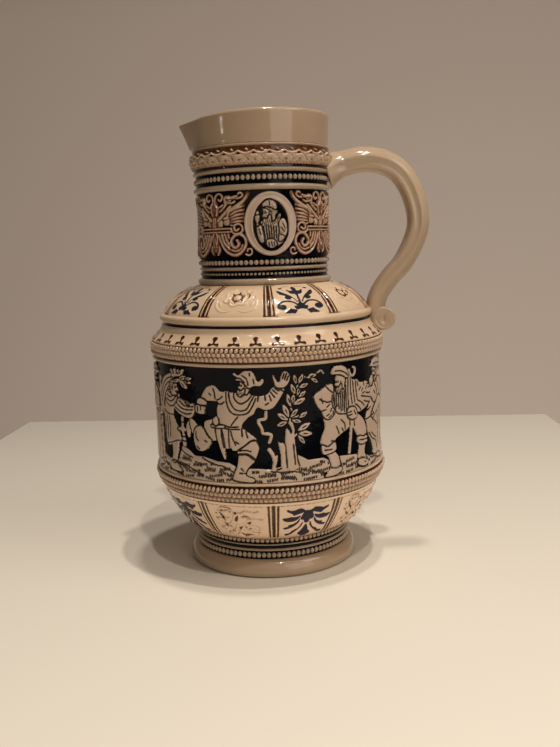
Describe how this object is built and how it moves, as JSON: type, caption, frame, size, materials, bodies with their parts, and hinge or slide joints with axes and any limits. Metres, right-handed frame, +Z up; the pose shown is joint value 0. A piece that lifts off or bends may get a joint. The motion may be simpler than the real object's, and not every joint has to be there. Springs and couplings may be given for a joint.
{
  "type": "stoneware jug",
  "caption": "Tall relief-moulded stoneware jug: bead and rope bands, figure frieze, cylindrical neck, pouring lip and strap handle.",
  "frame": {"origin": "centre of the foot's underside", "axes": "+Z up along the turning axis, +X towards the handle, -X towards the pouring lip"},
  "size_m": [0.1862, 0.154, 0.2878],
  "materials": {
    "cream_glaze": "gloss",
    "collar_glaze": "gloss",
    "cobalt_glaze": "gloss",
    "brown_wash": "gloss"
  },
  "bodies": {
    "root": {"foot_ring": "collar_glaze", "base_disc": "cobalt_glaze", "lower_bowl": "cream_glaze", "belly_wall": "cobalt_glaze", "shoulder_flare": "cream_glaze", "shoulder_dome": "cream_glaze", "neck_wall": "cobalt_glaze", "rim_collar": "collar_glaze", "pouring_lip": "collar_glaze", "foot_bead_row": "cream_glaze", "lower_neck_bead_row": "cream_glaze", "upper_neck_bead_row": "cream_glaze", "lower_rope_band": "cream_glaze", "upper_rope_band": "cream_glaze", "wave_band": "cream_glaze", "ground_strip": "cream_glaze", "pilgrim_1": "cream_glaze", "woman_1": "cream_glaze", "dancer_1": "cream_glaze", "tree_1": "cream_glaze", "walker_1": "cream_glaze", "elder_1": "cream_glaze", "pilgrim_2": "cream_glaze", "woman_2": "cream_glaze", "dancer_2": "cream_glaze", "tree_2": "cream_glaze", "walker_2": "cream_glaze", "elder_2": "cream_glaze", "medallion_1": "cream_glaze", "medallion_2": "cream_glaze", "griffin_panel_1": "brown_wash", "griffin_panel_2": "brown_wash", "griffin_panel_3": "brown_wash", "griffin_panel_4": "brown_wash", "handle": "collar_glaze"}
  },
  "joints": []
}
